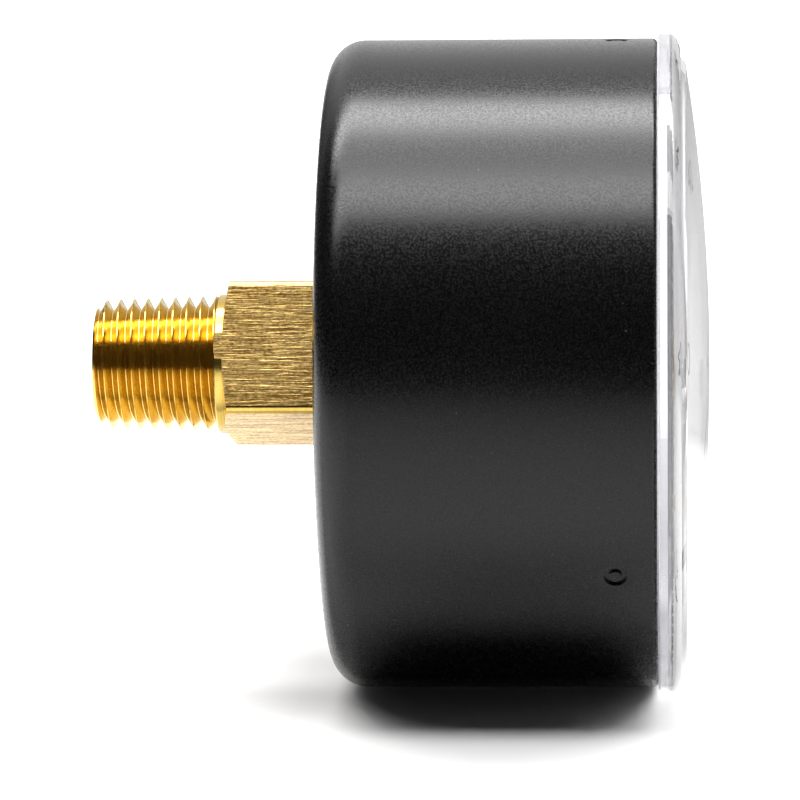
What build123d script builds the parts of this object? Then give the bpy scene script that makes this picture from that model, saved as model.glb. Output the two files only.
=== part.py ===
from build123d import *
from math import acos, atan2, cos, degrees, pi, radians, sin, sqrt, tan
import os

# Pressure gauge: 63 mm case, centre back connection, Bourdon tube movement.
#
# Frame: the gauge axis is Y. The origin is the centre of the stem's free end and +Y leaves the stem.
# The dial faces -Y and +Z is 12 o'clock. A "station" is a distance in front of the stem's end, so
# station 10 lies at Y = -10. Angles on the dial are counted from +X towards +Z, as its reader sees them.

os.makedirs("parts", exist_ok=True)

# ---- Driving dimensions, millimetres and degrees ----

# Tapered pipe thread, 1/4 inch, 18 threads per inch, taper 1 in 16 on diameter
thread_pitch = 25.4 / 18
thread_height = 0.8 * thread_pitch
thread_end_root_radius = 5.498
thread_taper = 1 / 32
thread_length = 12.45
thread_lead_in = 0.25
thread_crest_flat = 0.09
thread_root_flat = 0.07
thread_entry_radius = 5.85
thread_entry_length = 0.95
port_radius = 2.6
port_mouth_chamfer = 0.4

# Wrench shank
shank_width = 14.0
shank_edge_radius = 0.75
shank_roll = 24.4
collar_radius = 7.14
collar_front = 13.35
collar_back_corner = 0.2
shank_chamfer_angle = 15.0
shank_chamfer_bulge = 0.06
shank_front = 24.3
neck_width = 13.7

# Case, a drawn cup
case_back = 24.35
case_lip = 57.5
case_radius = 33.1
case_wall = 0.75
case_corner_radius = 3.5
lip_outer_radius = 0.52
lip_inner_radius = 0.15
neck_clearance = 0.1
case_screw_offset = 11.5
case_screw_hole_radius = 1.7
case_screw_tapping_radius = 1.5

# Stakes that hold the lens
stake_angles = (90, 210, 330)
stake_station = 53.4
stake_radius = 1.1
stake_middle_radius = 0.62
stake_depth = 0.42
stake_dish_radius = 1.75
stake_dish_depth = 0.16
stake_boss_radius = 1.2
stake_boss_height = 0.45

# Lens
lens_flange_radius = 33.55
lens_flange_front = 59.85
lens_shoulder_front = 58.8
lens_shoulder_radius = 31.35
lens_back_corner = 0.3
lens_skirt_corner = 0.25
lens_dome_edge_corner = 0.5
lens_step_radius = 31.2
lens_dome_edge_radius = 30.6
lens_dome_radius = 195.0
lens_apex = 62.8
lens_wall = 1.9
lens_skirt_back = 51.3
lens_skirt_radius = 32.18
lens_skirt_bore = 30.4
lens_groove_back = 52.05
lens_groove_front = 54.75
lens_groove_radius = 31.63

# Socket inside the case
flange_radius = 15.5
flange_thickness = 4.0
arm_width = 10.0
arm_thickness = 8.0
arm_top = 11.0
arm_bottom = -24.6
arm_corner_radius = 1.5
pad_radius = 3.0
pad_height = 1.0
pad_heights_z = (8.0, -14.0)
gallery_radius = 1.25
plug_radius = 2.0
plug_length = 2.4
plug_inset = 0.2
movement_screw_tapping_radius = 0.85
movement_screw_hole_depth = 3.2

# Bourdon tube
tube_radius = 20.0
tube_width = 7.0
tube_thickness = 2.4
tube_wall = 0.3
tube_root_angle = -92.5
tube_sweep = 247.5
tube_root_overlap = 20.0
brazing_gap = 0.04

# Tip block brazed over the tube's closed end, with a tab for the link
tip_block_length = 4.0
tip_block_wall = 0.7
tip_overlap = 12.0
tip_gap = 0.06
tab_width = 3.2
tab_clearance = 0.15

# Movement
movement_gap = 6.0
plate_thickness = 1.0
gear_module = 0.3
pinion_teeth = 12
sector_full_teeth = 96
sector_teeth = 13
sector_thickness = 0.8
sector_direction = -35.45
tail_length = 4.4
sector_hub_radius = 2.8
sector_waist_radius = 2.2
sector_tail_radius = 1.3
window_inner_radius = 5.5
window_outer_radius = 11.3
window_inner_margin = 14.0
window_outer_margin = 9.0
window_steps = 6
pointer_range = 270.0
pillar_spots = ((-7.0, 5.0), (-5.0, -13.0), (12.2, -15.1), (12.0, 8.0))
pillar_radius = 1.75
dial_post_spots = ((-10.0, 0.0), (10.0, 0.0))
dial_post_radius = 2.0
pivot_radius = 0.4
pivot_clearance = 0.03
arbor_radius = 0.75
pinion_body_radius = 0.9
pinion_journal_radius = 0.8
end_play = 0.1
rivet_head_radius = 1.0
rivet_head_height = 0.4
link_thickness = 0.6
link_eye_radius = 1.5
link_pin_radius = 0.5
link_open_clearance = 0.16
link_slew = 0.08

# Dial and pointer
dial_radius = 30.0
dial_thickness = 0.7
dial_front = 52.6
zero_angle = 225.0
pointer_front = 55.4
pointer_thickness = 0.4
pointer_reach = 27.0
pointer_tail = 8.5
spindle_radius = 0.6
spindle_end = 1.2
hub_radius = 3.0
hub_height = 1.6
hub_neck_radius = 1.3
hub_neck_length = 1.2
stop_pin_radius = 0.5
stop_pin_reach = 12.0
stop_pin_lead = 7.6

# Screws: shank radius, head radius, head height
case_screw = (1.45, 2.8, 1.4)
pillar_screw = (0.7, 1.5, 0.8)
movement_screw = (0.8, 1.8, 1.0)
dial_screw = (0.95, 1.9, 0.9)

# ---- Dimensions that follow ----

bore_radius = case_radius - case_wall
case_floor = case_back + case_wall
flange_front = case_floor + flange_thickness
arm_front = flange_front + arm_thickness
tube_station = flange_front + arm_thickness / 2
plate_back = arm_front + pad_height
plate_front = plate_back + plate_thickness
top_back = plate_front + movement_gap
top_front = top_back + plate_thickness
dial_back = dial_front - dial_thickness
sector_back = plate_front + 3.0
sector_front = sector_back + sector_thickness
link_front = sector_back - 0.2
link_back = link_front - link_thickness
pinion_pitch_radius = gear_module * pinion_teeth / 2
sector_pitch_radius = gear_module * sector_full_teeth / 2
centre_distance = pinion_pitch_radius + sector_pitch_radius
sector_swing = pointer_range * pinion_teeth / sector_full_teeth
tube_end_angle = tube_root_angle - tube_sweep
thread_end_crest_radius = thread_end_root_radius + thread_height


# ---- Helpers ----


def at(station):
    """The plane at a station that faces the dial's reader: its x is +X and its y is +Z."""
    return Plane.XZ.offset(station)


def polar(radius, angle, centre=(0, 0)):
    """The point of the reader's plane at a radius and an angle from a centre."""
    return (centre[0] + radius * cos(radians(angle)), centre[1] + radius * sin(radians(angle)))


def turning(corners):
    """A closed half section to revolve about the gauge axis, from (radius, station) corners."""
    with BuildSketch(Plane.XY) as half:
        with BuildLine():
            Polyline([(r, -s) for r, s in corners], close=True)
        make_face()
    return half.sketch


def disc(spot, radius, back, front, mode=Mode.ADD):
    """Add or cut a cylinder along the gauge axis between two stations."""
    with BuildSketch(at(back)) as outline:
        with Locations(spot):
            Circle(radius)
    extrude(outline.sketch, amount=front - back, mode=mode)


def round_corner(sketch, corner, radius):
    """Round the vertex of the open sketch that lies at a corner."""
    fillet(sketch.vertices().sort_by_distance(corner)[0], radius)


def pan_screw(spot, sizes, seat, length, turn):
    """A slotted pan head screw; turn is +1 when its head faces the dial's reader, -1 when it faces away."""
    shank, head, head_height = sizes
    with BuildPart() as screw:
        with BuildSketch(Plane.XY):
            Circle(head)
        extrude(amount=head_height)
        fillet(screw.edges().group_by(Axis.Z)[-1], head_height * 0.45)
        with BuildSketch(Plane.XY):
            Circle(shank)
        extrude(amount=-length)
        with BuildSketch(Plane.XY.offset(head_height)):
            Rectangle(head * 3, head * 0.3)
        extrude(amount=-head_height * 0.45, mode=Mode.SUBTRACT)
    seat_plane = Plane(origin=(spot[0], -seat, spot[1]), x_dir=(1, 0, 0), z_dir=(0, -turn, 0))
    return seat_plane * screw.part


def tooth_outline(teeth, kept, pitch_radius, root, tip, thickness, first_angle, centre):
    """Corners of a run of involute teeth, counter-clockwise, the first tooth centred on first_angle."""
    pressure = radians(20)
    base = pitch_radius * cos(pressure)
    half_at_base = thickness / 2 / pitch_radius + tan(pressure) - pressure
    flank = []
    steps = 6
    for step in range(steps + 1):
        r = max(base, root) + (tip - max(base, root)) * step / steps
        roll = acos(base / r)
        flank.append((r, degrees(half_at_base - (tan(roll) - roll))))
    if root < base:
        flank.insert(0, (root, flank[0][1]))
    corners = []
    for tooth in range(kept):
        middle = first_angle + tooth * 360 / teeth
        corners += [polar(r, middle - half, centre) for r, half in flank]
        corners += [polar(r, middle + half, centre) for r, half in reversed(flank)]
    return corners


def coil_plane(angle):
    """A cross-section plane of the tube's coil: its x is outward and its normal is towards larger angles."""
    return Plane(
        origin=(0, -tube_station, 0),
        x_dir=(cos(radians(angle)), 0, sin(radians(angle))),
        z_dir=(-sin(radians(angle)), 0, cos(radians(angle))),
    )


def flat_strap(ends, radii, back, front):
    """A flat bar with round ends."""
    with BuildSketch(at(back)) as outline:
        for spot, radius in zip(ends, radii):
            with Locations(spot):
                Circle(radius)
        make_hull()
    return extrude(outline.sketch, amount=front - back, mode=Mode.PRIVATE)


def save(piece, name):
    """Label a piece and write it as its own STEP file."""
    piece.part.label = name
    export_step(piece.part, f"parts/{name}.step")


# ---- Case ----

with BuildPart() as case:
    with BuildSketch(Plane.XY) as cup:
        with BuildLine():
            Polyline(
                (0, -case_back),
                (case_radius, -case_back),
                (case_radius, -case_lip),
                (bore_radius, -case_lip),
                (bore_radius, -case_floor),
                (0, -case_floor),
                close=True,
            )
        make_face()
        round_corner(cup, (case_radius, -case_back), case_corner_radius)
        round_corner(cup, (bore_radius, -case_floor), case_corner_radius - case_wall)
        round_corner(cup, (case_radius, -case_lip), lip_outer_radius)
        round_corner(cup, (bore_radius, -case_lip), lip_inner_radius)
    revolve(axis=Axis.Y)
    # Square hole for the shank and a screw hole beside two of its flats
    with BuildSketch(at(case_back)):
        hole_width = neck_width + neck_clearance
        RectangleRounded(hole_width, hole_width, shank_edge_radius, rotation=-shank_roll)
    extrude(amount=case_wall, mode=Mode.SUBTRACT)
    for side in (90, 270):
        disc(polar(case_screw_offset, side - shank_roll), case_screw_hole_radius, case_back, case_floor,
             mode=Mode.SUBTRACT)
    # Each stake: a boss inside, a shallow dish outside and a ring pressed into the dish
    dish_sphere = (stake_dish_radius**2 + stake_dish_depth**2) / (2 * stake_dish_depth)
    for angle in stake_angles:
        outward = Vector(cos(radians(angle)), 0, sin(radians(angle)))
        spot = Plane(
            origin=outward * case_radius - Vector(0, stake_station, 0), x_dir=(0, -1, 0), z_dir=outward
        )
        with BuildSketch(spot.offset(-case_wall / 2)):
            Circle(stake_boss_radius)
        extrude(amount=-case_wall / 2 - stake_boss_height)
        with Locations(spot.offset(dish_sphere - stake_dish_depth)):
            Sphere(dish_sphere, mode=Mode.SUBTRACT)
        with BuildSketch(spot):
            Circle(stake_radius)
            Circle(stake_middle_radius, mode=Mode.SUBTRACT)
        extrude(amount=-stake_depth, mode=Mode.SUBTRACT)
save(case, "case")

# ---- Lens ----


def dome_station(radius, apex, sphere):
    """Station of a shallow dome at a radius from the gauge axis."""
    return apex - sphere + sqrt(sphere**2 - radius**2)


def inner_dome(radius):
    """Profile point on the inside of the dome."""
    return (radius, -dome_station(radius, lens_apex - lens_wall, lens_dome_radius - lens_wall))


def shoulder_point(angle):
    """Profile point on the quarter ellipse that rounds the flange into its front face."""
    return (
        lens_shoulder_radius + (lens_flange_radius - lens_shoulder_radius) * sin(radians(angle)),
        -(lens_shoulder_front + (lens_flange_front - lens_shoulder_front) * cos(radians(angle))),
    )


def outer_dome(radius):
    """Profile point on the outside of the dome."""
    return (radius, -dome_station(radius, lens_apex, lens_dome_radius))


with BuildPart() as lens:
    with BuildSketch(Plane.XY) as lens_half:
        with BuildLine():
            ThreePointArc(inner_dome(0), inner_dome(lens_skirt_bore / 2), inner_dome(lens_skirt_bore))
            Polyline(
                inner_dome(lens_skirt_bore),
                (lens_skirt_bore, -lens_skirt_back),
                (lens_skirt_radius, -lens_skirt_back),
                (lens_skirt_radius, -lens_groove_back),
                (lens_groove_radius, -lens_groove_back),
                (lens_groove_radius, -lens_groove_front),
                (lens_skirt_radius, -lens_groove_front),
                (lens_skirt_radius, -case_lip),
                (lens_flange_radius, -case_lip),
                (lens_flange_radius, -lens_shoulder_front),
            )
            Spline(
                (lens_flange_radius, -lens_shoulder_front),
                shoulder_point(60),
                shoulder_point(30),
                (lens_shoulder_radius, -lens_flange_front),
                tangents=((0, -1), (-1, 0)),
            )
            Polyline(
                (lens_shoulder_radius, -lens_flange_front),
                (lens_step_radius, -lens_flange_front),
                outer_dome(lens_dome_edge_radius),
            )
            ThreePointArc(
                outer_dome(lens_dome_edge_radius), outer_dome(lens_dome_edge_radius / 2), outer_dome(0)
            )
            Line(outer_dome(0), inner_dome(0))
        make_face()
        round_corner(lens_half, (lens_flange_radius, -case_lip), lens_back_corner)
        round_corner(lens_half, (lens_skirt_radius, -lens_skirt_back), lens_skirt_corner)
        round_corner(lens_half, outer_dome(lens_dome_edge_radius), lens_dome_edge_corner)
    revolve(axis=Axis.Y)
save(lens, "lens")

# ---- Socket: thread, shank, flange and arm in one forging ----

thread_start = thread_lead_in - thread_pitch
thread_cut_off = thread_length + 0.5
with BuildLine() as thread_path:
    Helix(
        pitch=thread_pitch,
        height=thread_length + 2 * thread_pitch,
        radius=thread_end_root_radius + thread_start * thread_taper,
        center=(0, -thread_start, 0),
        direction=(0, -1, 0),
        cone_angle=degrees(atan2(thread_taper, 1)),
    )
path_start = thread_path.line @ 0
path_radial = Vector(path_start.X, 0, path_start.Z).normalized()
ridge_half_width = (thread_pitch - thread_root_flat) / 2
ridge_sunk = 0.12
core_skin = 0.01
clear_radius = 12.0
with BuildPart() as thread_ridge:
    with BuildSketch(Plane(origin=path_start, x_dir=path_radial, z_dir=thread_path.line % 0)):
        with BuildLine():
            Polyline(
                (-ridge_sunk, -ridge_half_width),
                (0, -ridge_half_width),
                (thread_height, -thread_crest_flat / 2),
                (thread_height, thread_crest_flat / 2),
                (0, ridge_half_width),
                (-ridge_sunk, ridge_half_width),
                close=True,
            )
        make_face()
    sweep(path=thread_path.line, is_frenet=True)

with BuildPart() as thread:
    # Overlong tapered core with its ridge, then cut to length and given its chamfered entry
    core_back = thread_start - 2
    core_front = thread_length + 4
    revolve(
        turning([
            (0, core_back),
            (thread_end_root_radius + core_back * thread_taper + core_skin, core_back),
            (thread_end_root_radius + core_front * thread_taper + core_skin, core_front),
            (0, core_front),
        ]),
        axis=Axis.Y,
    )
    add(thread_ridge.part)
    entry_slope = thread_entry_length / (thread_end_crest_radius - thread_entry_radius)
    entry_front = (clear_radius - thread_entry_radius) * entry_slope
    revolve(
        turning([
            (0, core_back - thread_pitch),
            (clear_radius, core_back - thread_pitch),
            (clear_radius, entry_front),
            (thread_entry_radius, 0),
            (0, 0),
        ]),
        axis=Axis.Y,
        mode=Mode.SUBTRACT,
    )
    thread_far_end = core_front + thread_pitch
    revolve(
        turning([
            (0, thread_cut_off),
            (clear_radius, thread_cut_off),
            (clear_radius, thread_far_end),
            (0, thread_far_end),
        ]),
        axis=Axis.Y,
        mode=Mode.SUBTRACT,
    )

bevel_run = shank_width - collar_radius
bevel_end = collar_front + bevel_run * tan(radians(shank_chamfer_angle))
with BuildPart() as shank:
    with BuildSketch(at(thread_length)):
        RectangleRounded(shank_width, shank_width, shank_edge_radius, rotation=-shank_roll)
    extrude(amount=shank_front - thread_length)
    with BuildSketch(at(shank_front)):
        RectangleRounded(neck_width, neck_width, shank_edge_radius, rotation=-shank_roll)
    extrude(amount=case_floor - shank_front)
    # Turned end: a short collar, then a slightly crowned bevel on the square's corners
    with BuildSketch(Plane.XY, mode=Mode.PRIVATE) as turned_end:
        with BuildLine():
            ThreePointArc(
                (collar_radius, -collar_front),
                (collar_radius + bevel_run / 2, -(collar_front + bevel_end) / 2 + shank_chamfer_bulge),
                (shank_width, -bevel_end),
            )
            Polyline(
                (shank_width, -bevel_end),
                (shank_width, -case_floor),
                (0, -case_floor),
                (0, -thread_length),
                (collar_radius - collar_back_corner, -thread_length),
                (collar_radius, -thread_length - collar_back_corner),
                (collar_radius, -collar_front),
            )
        make_face()
    revolve(turned_end.sketch, axis=Axis.Y, mode=Mode.INTERSECT)

arm_end = Plane(origin=(0, -tube_station, arm_bottom), x_dir=(1, 0, 0), z_dir=(0, 0, 1))
with BuildPart() as socket:
    add(thread.part)
    add(shank.part)
    disc((0, 0), flange_radius, case_floor, flange_front)
    with BuildSketch(at(flange_front)):
        with Locations((0, (arm_top + arm_bottom) / 2)):
            RectangleRounded(arm_width, arm_top - arm_bottom, arm_corner_radius)
    extrude(amount=arm_thickness)
    for height in pad_heights_z:
        disc((0, height), pad_radius, arm_front, plate_back)
    # Pressure port, gallery down the arm and the plug seat at its outer end
    disc((0, 0), port_radius, 0, tube_station, mode=Mode.SUBTRACT)
    revolve(
        turning([
            (0, 0),
            (port_radius + port_mouth_chamfer, 0),
            (port_radius, port_mouth_chamfer),
            (0, port_mouth_chamfer),
        ]),
        axis=Axis.Y,
        mode=Mode.SUBTRACT,
    )
    with BuildSketch(arm_end):
        Circle(gallery_radius)
    extrude(amount=-arm_bottom, mode=Mode.SUBTRACT)
    with BuildSketch(arm_end):
        Circle(plug_radius)
    extrude(amount=plug_length + plug_inset, mode=Mode.SUBTRACT)
    # Pocket that takes the root of the tube and meets the gallery
    with BuildSketch(coil_plane(tube_root_angle)):
        with Locations((tube_radius, 0)):
            SlotOverall(tube_width + brazing_gap, tube_thickness + brazing_gap, rotation=90)
    revolve(axis=Axis.Y, revolution_arc=tube_root_overlap, mode=Mode.SUBTRACT)
    # Tapped holes for the case screws and the movement screws
    for side in (90, 270):
        disc(polar(case_screw_offset, side - shank_roll), case_screw_tapping_radius, case_floor,
             flange_front, mode=Mode.SUBTRACT)
    for height in pad_heights_z:
        disc((0, height), movement_screw_tapping_radius, plate_back - movement_screw_hole_depth,
             plate_back, mode=Mode.SUBTRACT)
save(socket, "socket")

with BuildPart() as passage_plug:
    with BuildSketch(arm_end):
        Circle(plug_radius)
    extrude(amount=plug_length)
save(passage_plug, "passage_plug")

with BuildPart() as case_screws:
    for side in (90, 270):
        add(pan_screw(polar(case_screw_offset, side - shank_roll), case_screw, case_back, 4.2, -1))
save(case_screws, "case_screws")

# ---- Bourdon tube and its tip ----

with BuildPart() as bourdon_tube:
    with BuildSketch(coil_plane(tube_root_angle)):
        with Locations((tube_radius, 0)):
            SlotOverall(tube_width, tube_thickness, rotation=90)
            SlotOverall(tube_width - 2 * tube_wall, tube_thickness - 2 * tube_wall, rotation=90,
                        mode=Mode.SUBTRACT)
    revolve(axis=Axis.Y, revolution_arc=tube_sweep)
save(bourdon_tube, "bourdon_tube")

sector_pivot = polar(centre_distance, sector_direction)
tip_pin_spot = polar(tube_radius - 0.8, tube_end_angle + 0.5)
tail_rest = polar(tail_length, -sector_swing / 2, sector_pivot)
with BuildPart() as tube_tip:
    with BuildSketch(coil_plane(tube_end_angle).offset(-tip_block_length / 2)):
        with Locations((tube_radius, 0)):
            RectangleRounded(tube_thickness + 2 * tip_block_wall, tube_width + 2 * tip_block_wall, 0.5)
    extrude(amount=tip_block_length)
    # Tab that carries the link, bent forward off the end block
    with BuildSketch(at(tube_station)):
        with Locations(tip_pin_spot):
            RectangleRounded(tab_width, tab_width, 0.6, rotation=tube_end_angle)
    extrude(amount=link_back - tab_clearance - tube_station)
    # Pocket over the end of the tube
    with BuildSketch(coil_plane(tube_end_angle - 0.05 + tip_overlap)):
        with Locations((tube_radius, 0)):
            SlotOverall(tube_width + tip_gap, tube_thickness + tip_gap, rotation=90)
    revolve(axis=Axis.Y, revolution_arc=tip_overlap, mode=Mode.SUBTRACT)
    disc(tip_pin_spot, link_pin_radius, link_back - 3, link_front, mode=Mode.SUBTRACT)
save(tube_tip, "tube_tip")

with BuildPart() as tip_pin:
    disc(tip_pin_spot, link_pin_radius, link_back - 2.8, link_front + 0.05)
    disc(tip_pin_spot, rivet_head_radius, link_front + 0.05, link_front + 0.05 + rivet_head_height)
save(tip_pin, "tip_pin")

# ---- Link: pivots on the tip pin, its far eye rides the sector pin with clearance ----

far_eye = (tail_rest[0] + link_slew, tail_rest[1])
with BuildPart() as link:
    add(flat_strap([tip_pin_spot, far_eye], [link_eye_radius] * 2, link_back, link_front))
    disc(tip_pin_spot, link_pin_radius + pivot_clearance, link_back, link_front, mode=Mode.SUBTRACT)
    disc(far_eye, link_pin_radius + link_open_clearance, link_back, link_front, mode=Mode.SUBTRACT)
save(link, "link")

# ---- Sector gear, in mesh with the pinion at the pointer's zero ----

tooth_angle = 360 / sector_full_teeth
line_angle = sector_direction + 180
first_tooth = line_angle + 0.5 * tooth_angle - (sector_teeth - 2) * tooth_angle
tooth_width = pi * gear_module / 2 - 0.03
sector_root = sector_pitch_radius - 1.35 * gear_module
sector_tip = sector_pitch_radius + 0.7 * gear_module
teeth_corners = tooth_outline(
    sector_full_teeth, sector_teeth, sector_pitch_radius, sector_root, sector_tip, tooth_width,
    first_tooth, sector_pivot,
)
fan_low = first_tooth - 0.9 * tooth_angle
fan_high = first_tooth + (sector_teeth - 0.1) * tooth_angle
window_low = fan_low + window_outer_margin
window_step = (fan_high - window_outer_margin - window_low) / window_steps
with BuildPart() as sector_gear:
    with BuildSketch(at(sector_back)):
        with BuildLine():
            Polyline(
                polar(sector_waist_radius, fan_low, sector_pivot),
                polar(sector_root, fan_low, sector_pivot),
                *teeth_corners,
                polar(sector_root, fan_high, sector_pivot),
                polar(sector_waist_radius, fan_high, sector_pivot),
                close=True,
            )
        make_face()
        with Locations(sector_pivot):
            Circle(sector_hub_radius)
    extrude(amount=sector_thickness)
    # Window that lightens the fan
    window_arc = [window_low + window_step * step for step in range(window_steps + 1)]
    with BuildSketch(at(sector_back)):
        with BuildLine():
            Polyline(
                polar(window_inner_radius, fan_low + window_inner_margin, sector_pivot),
                *[polar(window_outer_radius, angle, sector_pivot) for angle in window_arc],
                polar(window_inner_radius, fan_high - window_inner_margin, sector_pivot),
                close=True,
            )
        make_face()
    extrude(amount=sector_thickness, mode=Mode.SUBTRACT)
    tail_radii = [sector_waist_radius, sector_tail_radius]
    add(flat_strap([sector_pivot, tail_rest], tail_radii, sector_back, sector_front))
    disc(sector_pivot, arbor_radius, sector_back, sector_front, mode=Mode.SUBTRACT)
    disc(tail_rest, link_pin_radius, sector_back, sector_front, mode=Mode.SUBTRACT)
save(sector_gear, "sector_gear")

with BuildPart() as sector_arbor:
    disc(sector_pivot, arbor_radius, plate_front + end_play, top_back - end_play)
    disc(sector_pivot, pivot_radius, plate_back, top_front)
save(sector_arbor, "sector_arbor")

with BuildPart() as sector_pin:
    disc(tail_rest, link_pin_radius, link_back - 0.1, sector_front)
    disc(tail_rest, rivet_head_radius, link_back - 0.1 - rivet_head_height, link_back - 0.1)
save(sector_pin, "sector_pin")

# ---- Pinion and spindle ----

pinion_root = pinion_pitch_radius - 0.95 * gear_module
pinion_tip = pinion_pitch_radius + 1.1 * gear_module
with BuildPart() as pinion:
    with BuildSketch(at(sector_back - 0.3)):
        with BuildLine():
            Polyline(
                tooth_outline(
                    pinion_teeth, pinion_teeth, pinion_pitch_radius, pinion_root, pinion_tip, tooth_width,
                    sector_direction, (0, 0),
                ),
                close=True,
            )
        make_face()
    extrude(amount=sector_thickness + 0.6)
    disc((0, 0), pivot_radius, plate_back, plate_front + end_play)
    disc((0, 0), pinion_body_radius, plate_front + end_play, top_back - end_play)
    disc((0, 0), pinion_journal_radius, top_back - end_play, top_front + 0.3)
    disc((0, 0), spindle_radius, top_front + 0.3, pointer_front + spindle_end)
save(pinion, "pinion")

# ---- Movement plates, pillars and posts ----

plate_spots = list(pillar_spots) + list(dial_post_spots) + [sector_pivot]


def movement_plate(back):
    """One plate of the movement, without its holes."""
    with BuildSketch(at(back)) as outline:
        for spot in plate_spots:
            with Locations(spot):
                Circle(3.0)
        make_hull()
    return extrude(outline.sketch, amount=plate_thickness, mode=Mode.PRIVATE)


with BuildPart() as bottom_plate:
    add(movement_plate(plate_back))
    for spot in ((0, 0), sector_pivot):
        disc(spot, pivot_radius + pivot_clearance, plate_back, plate_front, mode=Mode.SUBTRACT)
    for height in pad_heights_z:
        disc((0, height), 1.1, plate_back, plate_front, mode=Mode.SUBTRACT)
    for spot in pillar_spots:
        disc(spot, 1.0, plate_back, plate_front, mode=Mode.SUBTRACT)
save(bottom_plate, "movement_bottom_plate")

with BuildPart() as top_plate:
    add(movement_plate(top_back))
    disc((0, 0), pinion_journal_radius + pivot_clearance, top_back, top_front, mode=Mode.SUBTRACT)
    disc(sector_pivot, pivot_radius + pivot_clearance, top_back, top_front, mode=Mode.SUBTRACT)
    for spot in pillar_spots:
        disc(spot, 0.9, top_back, top_front, mode=Mode.SUBTRACT)
    for spot in dial_post_spots:
        disc(spot, 1.2, top_back, top_front, mode=Mode.SUBTRACT)
save(top_plate, "movement_top_plate")

with BuildPart() as pillars:
    for spot in pillar_spots:
        disc(spot, pillar_radius, plate_front, top_back)
        disc(spot, 0.97, plate_back, plate_front)
        disc(spot, 0.75, top_back - 3, top_back, mode=Mode.SUBTRACT)
save(pillars, "movement_pillars")

with BuildPart() as pillar_screws:
    for spot in pillar_spots:
        add(pan_screw(spot, pillar_screw, top_front, 3.5, 1))
save(pillar_screws, "pillar_screws")

with BuildPart() as movement_screws:
    for height in pad_heights_z:
        add(pan_screw((0, height), movement_screw, plate_front, 3.8, 1))
save(movement_screws, "movement_screws")

# ---- Hairspring, its collet and its stud ----

spring_back = plate_front + 1.0
spring_height = 0.6
spring_turns = 5
spring_inner = 1.75
spring_outer = 5.4
spring_half_thickness = 0.06
collet_slit = 0.25


def spiral_point(turn, side):
    """A point on one side of the hairspring's strip after a number of turns."""
    growth = (spring_outer - spring_inner) / spring_turns
    radius = spring_inner + growth * turn + side * spring_half_thickness
    return polar(radius, 180 + 360 * turn)


with BuildPart() as hairspring:
    with BuildSketch(at(spring_back)):
        with BuildLine():
            count = spring_turns * 12
            inside = [spiral_point(step / 12, -1) for step in range(count + 1)]
            outside = [spiral_point(step / 12, 1) for step in range(count + 1)]
            Spline(inside)
            Spline(outside)
            Line(inside[0], outside[0])
            Line(inside[-1], outside[-1])
        make_face()
    extrude(amount=spring_height)
save(hairspring, "hairspring")

collet_back = spring_back - 0.2
collet_front = spring_back + spring_height + 0.4
collet_radius = spring_inner - spring_half_thickness - 0.02
with BuildPart() as hairspring_collet:
    disc((0, 0), collet_radius, collet_back, collet_front)
    disc((0, 0), pinion_body_radius, collet_back, collet_front, mode=Mode.SUBTRACT)
    with BuildSketch(at(collet_back)):
        with Locations((0, 1.4)):
            Rectangle(collet_slit, 1.2)
    extrude(amount=collet_front - collet_back, mode=Mode.SUBTRACT)
save(hairspring_collet, "hairspring_collet")

with BuildPart() as hairspring_stud:
    disc((-spring_outer - 0.85, 0), 0.75, plate_front, spring_back + spring_height + 0.3)
save(hairspring_stud, "hairspring_stud")

# ---- Dial, its posts and screws, the stop pin ----

with BuildPart() as dial_posts:
    for spot in dial_post_spots:
        disc(spot, dial_post_radius, top_front, dial_back)
        disc(spot, 1.15, top_back, top_front)
        disc(spot, 1.0, dial_back - 4, dial_back, mode=Mode.SUBTRACT)
save(dial_posts, "dial_posts")

stop_spot = polar(stop_pin_reach, zero_angle + stop_pin_lead)
with BuildPart() as dial:
    disc((0, 0), dial_radius, dial_back, dial_front)
    chamfer(dial.edges().group_by(Axis.Y)[0], 0.15)
    disc((0, 0), 2.2, dial_back, dial_front, mode=Mode.SUBTRACT)
    for spot in dial_post_spots:
        disc(spot, 1.1, dial_back, dial_front, mode=Mode.SUBTRACT)
    disc(stop_spot, stop_pin_radius, dial_back, dial_front, mode=Mode.SUBTRACT)
save(dial, "dial")

with BuildPart() as dial_screws:
    for spot in dial_post_spots:
        add(pan_screw(spot, dial_screw, dial_front, 4.2, 1))
save(dial_screws, "dial_screws")

with BuildPart() as stop_pin:
    disc(stop_spot, stop_pin_radius, dial_back, dial_front)
    disc(stop_spot, stop_pin_radius + 0.1, dial_front, pointer_front + 0.4)
    fillet(stop_pin.edges().group_by(Axis.Y)[0], 0.2)
save(stop_pin, "stop_pin")

# ---- Pointer and hub, at the dial's zero ----


def along(distance, side):
    """A point at a distance along the resting pointer and a distance to its left."""
    base = polar(distance, zero_angle)
    return polar(side, zero_angle + 90, base)


pointer_back = pointer_front - pointer_thickness
with BuildPart() as pointer:
    with BuildSketch(at(pointer_back)):
        with BuildLine():
            Polyline(
                along(pointer_reach, 0),
                along(pointer_reach - 2.2, 0.45),
                along(3.0, 0.95),
                along(-4.0, 0.95),
                along(-pointer_tail, 1.9),
                along(-pointer_tail, -1.9),
                along(-4.0, -0.95),
                along(3.0, -0.95),
                along(pointer_reach - 2.2, -0.45),
                close=True,
            )
        make_face()
        Circle(2.4)
    extrude(amount=pointer_thickness)
    disc((0, 0), hub_neck_radius, pointer_back, pointer_front, mode=Mode.SUBTRACT)
save(pointer, "pointer")

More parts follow.
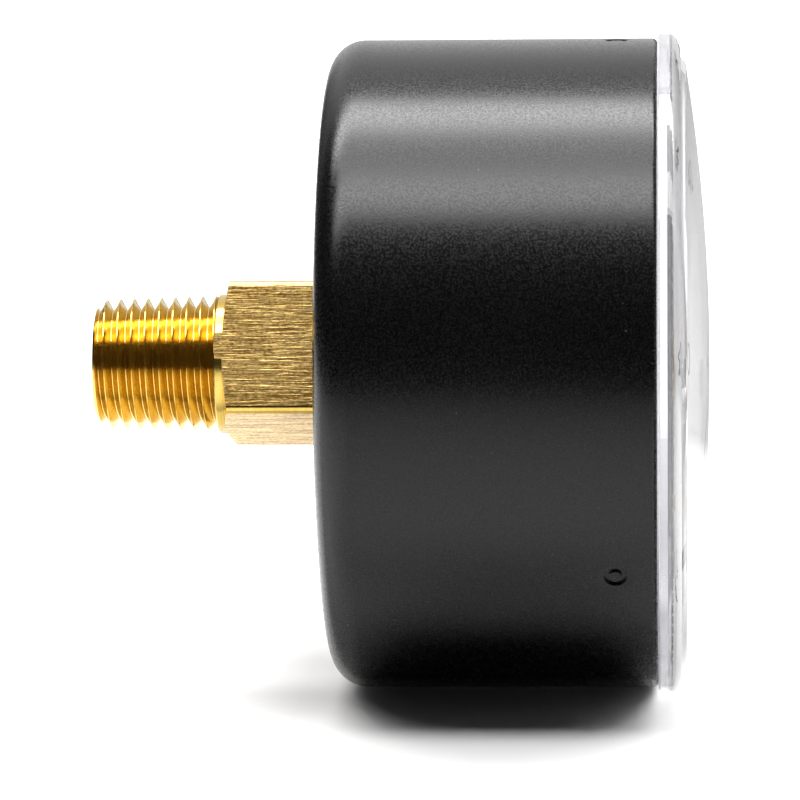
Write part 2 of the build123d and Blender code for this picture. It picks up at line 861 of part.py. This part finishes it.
with BuildPart() as pointer_hub:
    disc((0, 0), hub_radius, pointer_front, pointer_front + hub_height)
    fillet(pointer_hub.edges().group_by(Axis.Y)[0], 0.5)
    disc((0, 0), hub_neck_radius, pointer_back - hub_neck_length, pointer_front)
    disc((0, 0), spindle_radius, pointer_back - hub_neck_length, pointer_front + spindle_end,
         mode=Mode.SUBTRACT)
save(pointer_hub, "pointer_hub")
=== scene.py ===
import math

import bmesh
import bpy
from mathutils import Matrix, Vector


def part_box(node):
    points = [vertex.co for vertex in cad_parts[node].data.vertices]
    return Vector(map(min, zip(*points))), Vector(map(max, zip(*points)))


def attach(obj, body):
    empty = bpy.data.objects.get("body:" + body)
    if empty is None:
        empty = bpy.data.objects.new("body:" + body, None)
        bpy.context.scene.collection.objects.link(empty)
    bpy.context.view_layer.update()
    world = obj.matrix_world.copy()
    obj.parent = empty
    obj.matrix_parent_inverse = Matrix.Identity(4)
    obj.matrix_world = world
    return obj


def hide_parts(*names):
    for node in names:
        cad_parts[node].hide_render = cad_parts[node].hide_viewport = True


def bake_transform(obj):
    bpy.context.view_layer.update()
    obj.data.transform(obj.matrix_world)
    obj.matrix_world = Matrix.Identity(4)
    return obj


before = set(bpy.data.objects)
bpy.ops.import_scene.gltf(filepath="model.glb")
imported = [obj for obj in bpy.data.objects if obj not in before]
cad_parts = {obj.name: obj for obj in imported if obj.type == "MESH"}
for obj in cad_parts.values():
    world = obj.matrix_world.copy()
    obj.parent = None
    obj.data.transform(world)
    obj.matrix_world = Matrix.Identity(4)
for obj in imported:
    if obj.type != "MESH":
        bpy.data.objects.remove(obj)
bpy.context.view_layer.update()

MM = 0.001

# Stations and radii of the gauge, in millimetres. Stations are counted along -Y from the stem's end.
DIAL_FRONT = -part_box("dial")[0][1] / MM
LENS_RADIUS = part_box("lens")[1][0] / MM
LENS_DOME_EDGE = 30.6
THREAD_END = 12.5

# The wrench flats face these two directions and their opposites
SHANK_ROLL = math.radians(24.4)
FLAT_NORMALS = (
    (math.cos(SHANK_ROLL), 0.0, -math.sin(SHANK_ROLL)),
    (math.sin(SHANK_ROLL), 0.0, math.cos(SHANK_ROLL)),
)


def linked(name, data):
    """A new object in the scene, made from a mesh, text, light or camera."""
    made = bpy.data.objects.new(name, data)
    bpy.context.scene.collection.objects.link(made)
    return made


def mesh_from(name, verts, faces):
    mesh = bpy.data.meshes.new(name)
    mesh.from_pydata(verts, [], faces)
    return mesh


# ---- Materials: scales of noise are in cycles per metre, depths of bump in metres ----

# Parts of a noise's range that are stretched to 0..1: the narrower, the harder the contrast
FAINT = (0.3, 0.7)
MEDIUM = (0.35, 0.65)
STRONG = (0.38, 0.62)
HARSH = (0.44, 0.56)

# How much of a noise's change is left along X, Y and Z: little along a brush line, all of it across
SPECKLED = (1.0, 1.0, 1.0)
ALONG_X = (0.04, 1.0, 1.0)
ALONG_Z = (1.0, 1.0, 0.05)
DRAWN = (1.0, 0.03, 1.0)
TURNED = (0.03, 1.0, 0.03)


class Shader:
    """One procedural material: helpers that add nodes and hand back sockets."""

    def __init__(self, name):
        self.material = bpy.data.materials.new(name)
        self.material.use_nodes = True
        self.tree = self.material.node_tree
        self.nodes, self.links = self.tree.nodes, self.tree.links
        self.nodes.clear()
        self.bsdf = self.nodes.new("ShaderNodeBsdfPrincipled")
        out = self.nodes.new("ShaderNodeOutputMaterial")
        self.links.new(self.bsdf.outputs["BSDF"], out.inputs["Surface"])
        self.place = self.nodes.new("ShaderNodeTexCoord").outputs["Object"]

    def plug(self, value, socket):
        """Links an output to an input, or sets the input when value is a plain number or colour."""
        if isinstance(value, bpy.types.NodeSocket):
            self.links.new(value, socket)
        elif isinstance(value, (tuple, list)) and len(value) == 3 and socket.type == "RGBA":
            socket.default_value = (*value, 1.0)
        else:
            socket.default_value = value

    def set(self, **values):
        """Plugs values into the surface shader's sockets, which are named with _ for each space."""
        for name, value in values.items():
            self.plug(value, self.bsdf.inputs[name.replace("_", " ")])

    def stretched(self, scale, turn=(0, 0, 0)):
        """Object coordinates with their own scale along each axis."""
        node = self.nodes.new("ShaderNodeMapping")
        node.inputs["Scale"].default_value = scale
        node.inputs["Rotation"].default_value = turn
        self.links.new(self.place, node.inputs["Vector"])
        return node.outputs["Vector"]

    def noise(self, scale, detail=3.0, rough=0.55, at=None):
        node = self.nodes.new("ShaderNodeTexNoise")
        node.inputs["Scale"].default_value = scale
        node.inputs["Detail"].default_value = detail
        node.inputs["Roughness"].default_value = rough
        self.links.new(at or self.place, node.inputs["Vector"])
        return node.outputs["Fac"]

    def cells(self, scale):
        """Distance from the nearest of many scattered points."""
        node = self.nodes.new("ShaderNodeTexVoronoi")
        node.inputs["Scale"].default_value = scale
        self.links.new(self.place, node.inputs["Vector"])
        return node.outputs["Distance"]

    def span(self, value, low, high, to_low=0.0, to_high=1.0):
        """Maps low..high to to_low..to_high, held at the ends."""
        node = self.nodes.new("ShaderNodeMapRange")
        self.plug(value, node.inputs["Value"])
        node.inputs["From Min"].default_value = low
        node.inputs["From Max"].default_value = high
        node.inputs["To Min"].default_value = to_low
        node.inputs["To Max"].default_value = to_high
        return node.outputs["Result"]

    def mix(self, share, a, b):
        """A colour between a and b."""
        node = self.nodes.new("ShaderNodeMix")
        node.data_type = "RGBA"
        for socket, value in zip((0, 6, 7), (share, a, b)):
            self.plug(value, node.inputs[socket])
        return node.outputs[2]

    def mix_value(self, share, a, b):
        """A number between a and b."""
        node = self.nodes.new("ShaderNodeMix")
        for socket, value in zip((0, 2, 3), (share, a, b)):
            self.plug(value, node.inputs[socket])
        return node.outputs[0]

    def maths(self, operation, a, b=0.0):
        node = self.nodes.new("ShaderNodeMath")
        node.operation = operation
        self.plug(a, node.inputs[0])
        self.plug(b, node.inputs[1])
        return node.outputs[0]

    def times(self, a, b):
        return self.maths("MULTIPLY", a, b)

    def plus(self, a, b):
        return self.maths("ADD", a, b)

    def dot(self, vector, direction):
        node = self.nodes.new("ShaderNodeVectorMath")
        node.operation = "DOT_PRODUCT"
        self.links.new(vector, node.inputs[0])
        node.inputs[1].default_value = direction
        return node.outputs["Value"]

    def axis(self, name):
        """One coordinate of the point, in metres, in the CAD's frame."""
        node = self.nodes.new("ShaderNodeSeparateXYZ")
        self.links.new(self.place, node.inputs[0])
        return node.outputs[name]

    def bump(self, height, distance, below=None):
        node = self.nodes.new("ShaderNodeBump")
        node.inputs["Distance"].default_value = distance
        self.plug(height, node.inputs["Height"])
        if below is not None:
            self.links.new(below, node.inputs["Normal"])
        return node.outputs["Normal"]


DRIFT_SCALE = 70.0
SPECK_SCALE = 700.0
SPECK_GROUP_SCALE = 900.0
SHEEN_CHANGE = 0.08


def enamel(name, tone, dust, rough, grain, peel_depth, grain_depth, specks=0.35, uneven=0.03, ior=1.5):
    """Sprayed paint: orange peel, fine grain and a few dust specks.

    grain is the scale of the peel, specks how much of the paint a dust speck hides, and uneven the share by
    which the tone goes up and down.
    """
    s = Shader(name)
    s.set(IOR=ior)
    drift = s.span(s.noise(DRIFT_SCALE, detail=4.0), *FAINT)
    fine = s.span(s.noise(grain * 2.2, detail=2.0, rough=0.7), *STRONG)
    mottle = s.mix_value(0.2, fine, drift)
    base = s.mix(mottle, [(1 - uneven) * c for c in tone], [(1 + uneven) * c for c in tone])
    speck = s.span(s.cells(SPECK_SCALE), 0.05, 0.08, to_low=specks, to_high=0.0)
    grouped = s.span(s.noise(SPECK_GROUP_SCALE, detail=2.0), 0.55, 0.62)
    s.set(Base_Color=s.mix(s.times(speck, grouped), base, dust))
    sheen = s.noise(grain * 2.4, detail=2.0, rough=0.7)
    s.set(Roughness=s.span(sheen, *STRONG, to_low=rough - SHEEN_CHANGE, to_high=rough + SHEEN_CHANGE))
    peel = s.bump(s.noise(grain, detail=3.0, rough=0.6), peel_depth)
    s.set(Normal=s.bump(s.noise(grain * 4, detail=2.0, rough=0.6), grain_depth, below=peel))
    return s


CLOUD_SCALE = 160.0
LINE_DEPTH = 2e-6


def brushed(name, tones, rough, along, pitch):
    """Metal with fine lines: tones are its light and dark colour, pitch is the scale across the lines."""
    s = Shader(name)
    light, dark = tones
    lines = s.noise(pitch, detail=4.0, rough=0.65, at=s.stretched(along))
    clouds = s.span(s.noise(CLOUD_SCALE, detail=4.0), *FAINT, to_high=0.4)
    share = s.plus(s.times(s.span(lines, *MEDIUM), 0.5), clouds)
    s.set(Base_Color=s.mix(share, dark, light), Metallic=1.0)
    s.set(Roughness=s.span(lines, *FAINT, to_low=rough + 0.08, to_high=rough - 0.05))
    s.set(Normal=s.bump(lines, LINE_DEPTH))
    return s


BRASS = ((0.83, 0.58, 0.24), (0.55, 0.32, 0.09))
BRONZE = ((0.80, 0.50, 0.26), (0.55, 0.30, 0.12))
STEEL = ((0.62, 0.62, 0.61), (0.40, 0.40, 0.41))
FLATS_LIGHT = (0.82, 0.56, 0.20)
FLATS_DARK = (0.26, 0.14, 0.03)
THREAD_LIGHT = (0.65, 0.46, 0.12)
THREAD_DARK = (0.60, 0.40, 0.09)
STAIN = (0.30, 0.13, 0.01)

paint = enamel(
    "satin_black_enamel", tone=(0.0013, 0.0013, 0.0014), dust=(0.10, 0.10, 0.105), rough=0.25,
    grain=1700.0, peel_depth=0.6e-6, grain_depth=8.0e-6, uneven=0.9, ior=1.375,
)
dial_paint = enamel(
    "white_dial_enamel", tone=(0.58, 0.58, 0.57), dust=(0.50, 0.50, 0.49), rough=0.42,
    grain=1100.0, peel_depth=0.8e-6, grain_depth=0.3e-6, specks=0.2,
)
pointer_paint = enamel(
    "black_lacquer", tone=(0.014, 0.014, 0.014), dust=(0.2, 0.2, 0.2), rough=0.4,
    grain=1600.0, peel_depth=0.8e-6, grain_depth=0.3e-6, specks=0.2,
)
ink = enamel(
    "dial_ink", tone=(0.012, 0.012, 0.013), dust=(0.08, 0.08, 0.08), rough=0.55,
    grain=2600.0, peel_depth=0.5e-6, grain_depth=0.2e-6, specks=0.2,
)

plate_brass = brushed("plate_brass", BRASS, 0.32, ALONG_X, 5200.0)
sector_brass = brushed("sector_brass", BRASS, 0.28, ALONG_Z, 6200.0)
turned_brass = brushed("turned_brass", BRASS, 0.22, TURNED, 7000.0)
post_brass = brushed("post_brass", BRASS, 0.25, TURNED, 6000.0)
hub_brass = brushed("hub_brass", BRASS, 0.2, TURNED, 8000.0)
plug_brass = brushed("plug_brass", BRASS, 0.4, ALONG_Z, 3000.0)
tip_brass = brushed("tip_brass", BRASS, 0.35, (1.0, 0.05, 1.0), 4200.0)
tube_bronze = brushed("tube_bronze", BRONZE, 0.3, (0.2, 1.0, 0.2), 3600.0)
spring_bronze = brushed("spring_bronze", BRONZE, 0.24, (1.0, 0.1, 1.0), 9000.0)
collet_brass = brushed("collet_brass", BRASS, 0.27, TURNED, 9000.0)
screw_steel = brushed("screw_steel", STEEL, 0.3, SPECKLED, 2600.0)
pin_steel = brushed("pin_steel", STEEL, 0.18, TURNED, 8000.0)
strap_steel = brushed("strap_steel", STEEL, 0.34, (0.05, 1.0, 1.0), 5200.0)


DRAWN_DEPTH = 4e-5


def stem_brass():
    """Brass of the socket: smooth where it is turned, with lines along the flats where it is drawn."""
    s = Shader("stem_brass")
    station = s.times(s.axis("Y"), -1.0 / MM)
    beyond_thread = s.span(station, THREAD_END, THREAD_END + 0.05)
    facing = s.nodes.new("ShaderNodeNewGeometry").outputs["Normal"]
    square_to = [s.maths("ABSOLUTE", s.dot(facing, flat)) for flat in FLAT_NORMALS]
    flats = s.times(beyond_thread, s.span(s.maths("MAXIMUM", *square_to), 0.985, 0.995))

    lines = s.noise(7000.0, detail=2.0, rough=0.7, at=s.stretched(DRAWN))
    coarse = s.noise(2600.0, detail=2.0, rough=0.6, at=s.stretched((1.0, 0.01, 1.0)))
    pits = s.noise(5200.0, detail=2.0, rough=0.6, at=s.stretched((1.0, 0.5, 1.0)))
    streak = s.plus(s.times(lines, 0.8), s.times(coarse, 0.2))
    grit = s.plus(s.times(streak, 0.65), s.times(pits, 0.35))
    drawn_tone = s.mix(s.span(grit, *HARSH), FLATS_DARK, FLATS_LIGHT)

    turned = s.noise(2400.0, at=s.stretched(TURNED))
    clean_tone = s.mix(s.span(turned, *MEDIUM), THREAD_DARK, THREAD_LIGHT)
    stained = s.span(s.noise(900.0, detail=5.0, rough=0.7), 0.60, 0.72, to_high=0.5)
    turned_tone = s.mix(stained, clean_tone, STAIN)

    s.set(Base_Color=s.mix(flats, turned_tone, drawn_tone), Metallic=1.0)
    turned_rough = s.span(pits, *FAINT, to_low=0.13, to_high=0.21)
    drawn_rough = s.span(lines, *FAINT, to_low=0.38, to_high=0.26)
    s.set(Roughness=s.mix_value(flats, turned_rough, drawn_rough))
    s.set(Normal=s.bump(s.times(streak, flats), DRAWN_DEPTH))
    return s


RIM_FADE = 0.5
CLEAR_FACE_ON = (0.97, 0.97, 0.975)
# Painted shade: the clear plastic's colour turns grey edge-on and greyer still at the dome's rim
PAINTED_SHADE_EDGE_ON = (0.60, 0.60, 0.63)
PAINTED_SHADE_RIM = (0.48, 0.47, 0.50)
HAZE_TONE = (0.70, 0.70, 0.72)


def clear_plastic():
    """Clear moulded plastic with faint hazing and hairline scratches, and painted shade that makes it
    greyer edge-on and at its rim.
    """
    s = Shader("clear_plastic")
    s.set(IOR=1.5, Transmission_Weight=1.0)
    layer = s.nodes.new("ShaderNodeLayerWeight")
    layer.inputs["Blend"].default_value = 0.5
    edge_on = layer.outputs["Facing"]
    across, up = s.axis("X"), s.axis("Z")
    radius = s.maths("SQRT", s.plus(s.times(across, across), s.times(up, up)))
    rim = s.span(radius, LENS_DOME_EDGE * MM, (LENS_DOME_EDGE + RIM_FADE) * MM)
    # Painted shade: the clear tint is mixed towards grey edge-on and at the rim
    moulded = s.mix(rim, s.mix(edge_on, CLEAR_FACE_ON, PAINTED_SHADE_EDGE_ON), PAINTED_SHADE_RIM)
    haze = s.noise(55.0, detail=5.0, rough=0.6)
    s.set(Base_Color=s.mix(s.span(haze, 0.35, 0.7, to_high=0.2), moulded, HAZE_TONE))
    hair = s.noise(800.0, detail=3.0, rough=0.6, at=s.stretched((1.0, 1.0, 0.02), turn=(0.0, 0.7, 0.0)))
    scratched = s.span(hair, 0.66, 0.75, to_high=0.04)
    s.set(Roughness=s.plus(s.span(haze, 0.35, 0.7, to_high=0.02), scratched))
    # Face-on, most of the light passes straight through to the dial
    solid = s.span(edge_on, 0.45, 0.9, to_low=0.15, to_high=0.95)
    s.set(Alpha=s.maths("MAXIMUM", solid, s.times(rim, 0.9)))
    s.set(Normal=s.bump(s.noise(60.0, detail=2.0, rough=0.5), 5e-6))
    return s


NODE_LOOKS = {
    "case": paint,
    "lens": clear_plastic(),
    "socket": stem_brass(),
    "case_screws": screw_steel,
    "passage_plug": plug_brass,
    "bourdon_tube": tube_bronze,
    "tube_tip": tip_brass,
    "tip_pin": pin_steel,
    "link": strap_steel,
    "sector_gear": sector_brass,
    "sector_arbor": pin_steel,
    "sector_pin": pin_steel,
    "pinion": turned_brass,
    "movement_bottom_plate": plate_brass,
    "movement_top_plate": plate_brass,
    "movement_pillars": post_brass,
    "pillar_screws": screw_steel,
    "movement_screws": screw_steel,
    "hairspring": spring_bronze,
    "hairspring_collet": collet_brass,
    "hairspring_stud": post_brass,
    "dial_posts": post_brass,
    "dial": dial_paint,
    "dial_screws": screw_steel,
    "stop_pin": turned_brass,
    "pointer": pointer_paint,
    "pointer_hub": hub_brass,
}
for node, look in NODE_LOOKS.items():
    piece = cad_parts[node]
    for index in range(len(piece.data.materials)):
        piece.data.materials[index] = look.material

# Light passes the clear lens to the dial
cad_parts["lens"].visible_shadow = False


# ---- Bourdon tube: cut into a root on the gauge's body and a free end ----

# Angles about the gauge's axis, in degrees, from 3 o'clock over 12 o'clock
TUBE_CUT = 110.0
WELD_DISTANCE = 1e-7


def tube_share(name, free_end):
    """The tube on one side of the cut, closed where it was cut."""
    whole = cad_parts["bourdon_tube"]
    mesh = whole.data.copy()
    mesh.transform(whole.matrix_world)
    a = math.radians(TUBE_CUT)
    towards_root = Vector((-math.sin(a), 0.0, math.cos(a)))
    bm = bmesh.new()
    bm.from_mesh(mesh)
    bmesh.ops.remove_doubles(bm, verts=bm.verts, dist=WELD_DISTANCE)
    made = bmesh.ops.bisect_plane(
        bm, geom=[*bm.verts, *bm.edges, *bm.faces], plane_co=(0.0, 0.0, 0.0), plane_no=towards_root,
        clear_outer=free_end, clear_inner=not free_end,
    )
    rim = [e for e in made["geom_cut"] if isinstance(e, bmesh.types.BMEdge)]
    bmesh.ops.triangle_fill(bm, edges=rim, use_beauty=True)
    bmesh.ops.recalc_face_normals(bm, faces=bm.faces)
    bm.to_mesh(mesh)
    bm.free()
    piece = linked(name, mesh)
    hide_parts("bourdon_tube")
    return piece


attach(tube_share("bourdon_tube_root", False), "gauge_body")
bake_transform(tube_share("bourdon_tube_free_end", True))


# ---- Printing on the dial, in millimetres and degrees ----

ZERO_ANGLE = 225.0
SCALE_SWEEP = 270.0
DIVISIONS = 100
INK_HEIGHT = 0.03
TICK_OUTER = 29.4
# Ticks at every so many divisions, the longest first: their inner radius and their width
TICK_KINDS = {10: (26.0, 0.6), 5: (27.0, 0.35), 1: (27.9, 0.2)}
ARC_STEPS = 180
ARC_WIDTH = 0.18
NUMBER_STEP = 20
NUMBER_RADIUS = 21.6
NUMBER_SIZE = 4.6
UNIT_SIZE = 4.2
UNIT_BELOW_CENTRE = 12.5


def value_angle(value):
    return ZERO_ANGLE - SCALE_SWEEP * value / DIVISIONS


def dial_point(radius, angle, lift=0.0):
    """A point on the dial's face, in metres; lift is its height over the dial."""
    a = math.radians(angle)
    return (radius * math.cos(a) * MM, -(DIAL_FRONT + lift) * MM, radius * math.sin(a) * MM)


def inked(name, verts, faces):
    """A new piece of printing, in dial ink."""
    mesh = mesh_from(name, verts, faces)
    mesh.validate()
    mesh.update()
    mesh.materials.append(ink.material)
    return linked(name, mesh)


def tick_corners(value):
    """The four corners of one tick as (radius, angle), wider ticks reaching further in."""
    angle = value_angle(value)
    inner, width = next(kind for step, kind in TICK_KINDS.items() if value % step == 0)
    half_out = math.degrees(width / 2 / TICK_OUTER)
    half_in = math.degrees(width / 2 / inner)
    return [
        (inner, angle + half_in), (inner, angle - half_in),
        (TICK_OUTER, angle - half_out), (TICK_OUTER, angle + half_out),
    ]


def raised_bars(name, bars):
    """Thin raised bars, each given by its corners in order."""
    verts, faces = [], []
    for corners in bars:
        first = len(verts)
        count = len(corners)
        verts += [dial_point(r, a) for r, a in corners]
        verts += [dial_point(r, a, INK_HEIGHT) for r, a in corners]
        faces.append(tuple(first + i for i in range(count)))
        faces.append(tuple(first + count + i for i in reversed(range(count))))
        for i in range(count):
            j = (i + 1) % count
            faces.append((first + j, first + i, first + count + i, first + count + j))
    return inked(name, verts, faces)


def raised_arc(name, radius, width, start, sweep, steps):
    """A thin raised band round part of the dial, closed at both ends."""
    inner, outer = radius - width / 2, radius + width / 2
    verts, faces = [], []
    for step in range(steps + 1):
        angle = start - sweep * step / steps
        verts += [dial_point(inner, angle), dial_point(outer, angle)]
        verts += [dial_point(outer, angle, INK_HEIGHT), dial_point(inner, angle, INK_HEIGHT)]
    for step in range(steps):
        a, b = 4 * step, 4 * (step + 1)
        for i in range(4):
            j = (i + 1) % 4
            faces.append((a + i, a + j, b + j, b + i))
    last = 4 * steps
    faces.append((0, 3, 2, 1))
    faces.append((last, last + 1, last + 2, last + 3))
    return inked(name, verts, faces)


def lettering(name, text, size, across, up):
    """Generic dial text as a thin raised mesh, upright for the reader."""
    curve = bpy.data.curves.new(name + "_text", "FONT")
    curve.body = text
    curve.size = size * MM
    curve.align_x = "CENTER"
    curve.align_y = "CENTER"
    curve.extrude = INK_HEIGHT / 2 * MM
    holder = linked(name + "_text", curve)
    holder.rotation_euler = (math.radians(90), 0, 0)
    holder.location = (across * MM, -(DIAL_FRONT + INK_HEIGHT / 2) * MM, up * MM)
    bpy.context.view_layer.update()
    mesh = bpy.data.meshes.new_from_object(holder.evaluated_get(bpy.context.evaluated_depsgraph_get()))
    mesh.transform(holder.matrix_world)
    mesh.name = name
    bpy.data.objects.remove(holder)
    mesh.materials.clear()
    mesh.materials.append(ink.material)
    return linked(name, mesh)


scale_ticks = raised_bars("scale_ticks", [tick_corners(value) for value in range(DIVISIONS + 1)])
scale_arc = raised_arc("scale_arc", TICK_OUTER, ARC_WIDTH, ZERO_ANGLE, SCALE_SWEEP, ARC_STEPS)
for value in range(0, DIVISIONS + 1, NUMBER_STEP):
    angle = math.radians(value_angle(value))
    across, up = NUMBER_RADIUS * math.cos(angle), NUMBER_RADIUS * math.sin(angle)
    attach(lettering(f"number_{value}", str(value), NUMBER_SIZE, across, up), "gauge_body")
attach(lettering("unit", "psi", UNIT_SIZE, 0.0, -UNIT_BELOW_CENTRE), "gauge_body")
for piece in (scale_ticks, scale_arc):
    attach(piece, "gauge_body")


# ---- Stage, in metres: floor, back wall, surroundings and lights ----

WHITE = (1.0, 1.0, 1.0)
FLOOR_GAP = 0.02 * MM
FLOOR_Z = -LENS_RADIUS * MM - FLOOR_GAP
FLOOR_SIZE = 5.0
CASE_MIDDLE = 0.043
# Where the table's painted glow starts and where it is full: sideways from the gauge's middle, and behind
# it along X
GLOW_BESIDE = (0.022, 0.050)
GLOW_BEHIND = (0.10, 0.40)
BACKDROP_GLOW = 1.05
WALL_WIDTH = 4.0
WALL_HEIGHT = 3.0
WALL_X = 1.6
WALL_Z = 1.4
SKY = 2.6
WORLD_GLOW = 0.045


def staged(name, verts, faces):
    made = linked(name, mesh_from(name, verts, faces))
    return made


def plane(name, size_x, size_y):
    x, y = size_x / 2, size_y / 2
    return staged(name, [(-x, -y, 0), (x, -y, 0), (x, y, 0), (-x, y, 0)], [(0, 1, 2, 3)])


def glow(name, strength):
    """A plain white surface that shines evenly."""
    material = bpy.data.materials.new(name)
    material.use_nodes = True
    tree = material.node_tree
    tree.nodes.clear()
    light = tree.nodes.new("ShaderNodeEmission")
    light.inputs["Color"].default_value = (*WHITE, 1.0)
    light.inputs["Strength"].default_value = strength
    out = tree.nodes.new("ShaderNodeOutputMaterial")
    tree.links.new(light.outputs[0], out.inputs["Surface"])
    return material


def pale_table():
    """Pale matt table with painted light: it glows beside and behind the gauge, so that only its shadow
    shows.
    """
    s = Shader("pale_table")
    from_gauge = s.maths("ABSOLUTE", s.plus(s.axis("Y"), CASE_MIDDLE))
    painted_glow_beside = s.span(from_gauge, *GLOW_BESIDE, to_high=0.6)
    painted_glow_behind = s.span(s.axis("X"), *GLOW_BEHIND, to_high=0.7)
    s.set(
        Base_Color=s.mix(s.noise(6.0), (0.68, 0.68, 0.68), (0.71, 0.71, 0.71)),
        Roughness=0.75,
        Specular_IOR_Level=0.2,
        Emission_Color=WHITE,
        # Painted light: the table glows beside and behind the gauge
        Emission_Strength=s.maths("MAXIMUM", painted_glow_behind, painted_glow_beside),
    )
    return s.material


floor = plane("floor", FLOOR_SIZE, FLOOR_SIZE)
floor.location = (0.0, 0.0, FLOOR_Z)
floor.data.materials.append(pale_table())

back_wall = plane("back_wall", WALL_HEIGHT, WALL_WIDTH)
back_wall.location = (WALL_X, 0.0, WALL_Z)
back_wall.rotation_euler = (0, math.radians(-90), 0)
back_wall.data.materials.append(glow("wall_glow", BACKDROP_GLOW))

# A box round everything, so that every view has a plain backdrop; it isn't seen in gloss and lights nothing
sky_corners = [(x, y, z) for x in (-SKY, SKY) for y in (-SKY, SKY) for z in (-SKY, SKY)]
sky_sides = [(0, 1, 3, 2), (4, 6, 7, 5), (0, 4, 5, 1), (2, 3, 7, 6), (0, 2, 6, 4), (1, 5, 7, 3)]
sky = staged("sky", sky_corners, sky_sides)
sky.data.materials.append(glow("sky_glow", BACKDROP_GLOW))
sky.visible_glossy = False
sky.visible_diffuse = False
sky.visible_shadow = False

world = bpy.data.worlds.new("studio")
bpy.context.scene.world = world
world.use_nodes = True
surround = world.node_tree.nodes["Background"]
surround.inputs["Color"].default_value = (*WHITE, 1.0)
surround.inputs["Strength"].default_value = WORLD_GLOW


def softbox(name, height_angle, distance, depth, length, radiance, along=0.04):
    """An area light facing the gauge: height_angle is counted from the camera's side over the top."""
    a = math.radians(height_angle)
    aim = Vector((0.0, -along, 0.0))
    spot = Vector((-math.cos(a) * distance, -along, math.sin(a) * distance))
    data = bpy.data.lights.new(name, "AREA")
    data.shape = "RECTANGLE"
    data.size = length
    data.size_y = depth
    data.energy = radiance * math.pi * depth * length
    made = linked(name, data)
    made.location = spot
    made.rotation_mode = "QUATERNION"
    facing = (aim - spot).normalized()
    side = Vector((0.0, 1.0, 0.0))
    up = side.cross(facing).normalized()
    basis = Matrix((side, up, -facing)).transposed()
    made.rotation_quaternion = basis.to_quaternion()


softbox("softbox_front", height_angle=68.0, distance=0.75, depth=0.22, length=1.5, radiance=5.8)
softbox("softbox_rear", height_angle=104.0, distance=0.75, depth=0.19, length=1.5, radiance=9.8)
softbox(
    "softbox_overhead", height_angle=88.0, distance=1.00, depth=0.95, length=1.2, radiance=5.0,
    along=-0.06,
)


# ---- Black cards that only reflections see: they keep the pale floor out of the gauge's gloss ----

CARD_Z = FLOOR_Z + 0.002
CARD_TOP = 0.45


def flag(name, corners, shade):
    """One card: shade works out how much it hides at each point."""
    made = staged(name, corners, [(0, 1, 2, 3)])
    made.visible_camera = False
    made.visible_diffuse = False
    made.visible_transmission = False
    made.visible_shadow = False
    card = Shader(name + "_card")
    cloth = card.mix(card.noise(40.0), (0.010, 0.010, 0.010), (0.014, 0.014, 0.014))
    card.set(Base_Color=cloth, Roughness=0.9, Specular_IOR_Level=0.0, Alpha=shade(card))
    made.data.materials.append(card.material)


def lying(x_from, x_to, y_from, y_to):
    """Corners of a card on the floor."""
    return [(x_from, y_from, CARD_Z), (x_to, y_from, CARD_Z), (x_to, y_to, CARD_Z), (x_from, y_to, CARD_Z)]


def upright(x_from, x_to, y):
    """Corners of a card that stands beside the gauge."""
    return [(x_from, y, CARD_Z), (x_to, y, CARD_Z), (x_to, y, CARD_TOP), (x_from, y, CARD_TOP)]


def front_shade(card):
    """Dark close under the gauge, thinner before it, and denser again towards the camera."""
    near = card.span(card.axis("X"), -0.18, -0.06, to_low=0.44, to_high=0.14)
    far = card.span(card.axis("X"), -0.90, -0.22, to_low=0.35, to_high=0.0)
    contact = card.span(card.axis("X"), -0.028, -0.017, to_high=0.42)
    return card.plus(card.plus(near, far), contact)


def behind_shade(card):
    return card.span(card.axis("X"), 0.09, 0.13, to_high=0.70)


def side_shade(card):
    """Dense near the floor, gone at the card's top."""
    return card.span(card.axis("Z"), 0.10, CARD_TOP, to_low=0.9, to_high=0.0)


flag("flag_front", lying(-1.6, -0.012, -1.5, 1.5), front_shade)
flag("flag_behind", lying(0.09, 1.5, -0.8, 0.1), behind_shade)
flag("flag_left", upright(-0.7, 1.2, 0.35), side_shade)
flag("flag_right", upright(-0.7, 1.2, -0.42), side_shade)


# ---- Camera: distances in millimetres from the gauge's axis, small angles in radians ----

FOCAL = 205.4
SENSOR = 36.0
CAMERA_DISTANCE = 467.7
CAMERA_STATION = 58.73
CAMERA_RISE = -0.15
CAMERA_TILT = math.radians(9.0)
YAW, PITCH, ROLL = 0.0591, 0.0077, 0.0027

# The tilted directions: away from the camera, along the gauge to its dial, and up
away = Vector((math.cos(CAMERA_TILT), 0.0, -math.sin(CAMERA_TILT)))
dialward = Vector((0.0, -1.0, 0.0))
rise = Vector((math.sin(CAMERA_TILT), 0.0, math.cos(CAMERA_TILT)))


def aimed(a, d, r):
    return (away * a + dialward * d + rise * r).normalized()


look = aimed(math.cos(YAW) * math.cos(PITCH), -math.sin(YAW) * math.cos(PITCH), -math.sin(PITCH))
right = aimed(math.sin(YAW), math.cos(YAW), 0.0)
above = aimed(math.cos(YAW) * math.sin(PITCH), -math.sin(YAW) * math.sin(PITCH), math.cos(PITCH))
rolled_right = right * math.cos(ROLL) - above * math.sin(ROLL)
rolled_above = above * math.cos(ROLL) + right * math.sin(ROLL)
orientation = Matrix((rolled_right, rolled_above, -look)).transposed()
spot = (away * -CAMERA_DISTANCE + dialward * CAMERA_STATION + rise * CAMERA_RISE) * MM

camera_data = bpy.data.cameras.new("camera")
camera_data.lens = FOCAL
camera_data.sensor_width = SENSOR
camera_data.clip_start = 0.05
camera_data.clip_end = 30.0
camera = linked("camera", camera_data)
camera.matrix_world = Matrix.Translation(spot) @ orientation.to_4x4()
bpy.context.scene.camera = camera

bpy.context.scene.view_settings.view_transform = "Standard"
bpy.context.scene.view_settings.look = "None"
bpy.context.scene.view_settings.exposure = 0.0
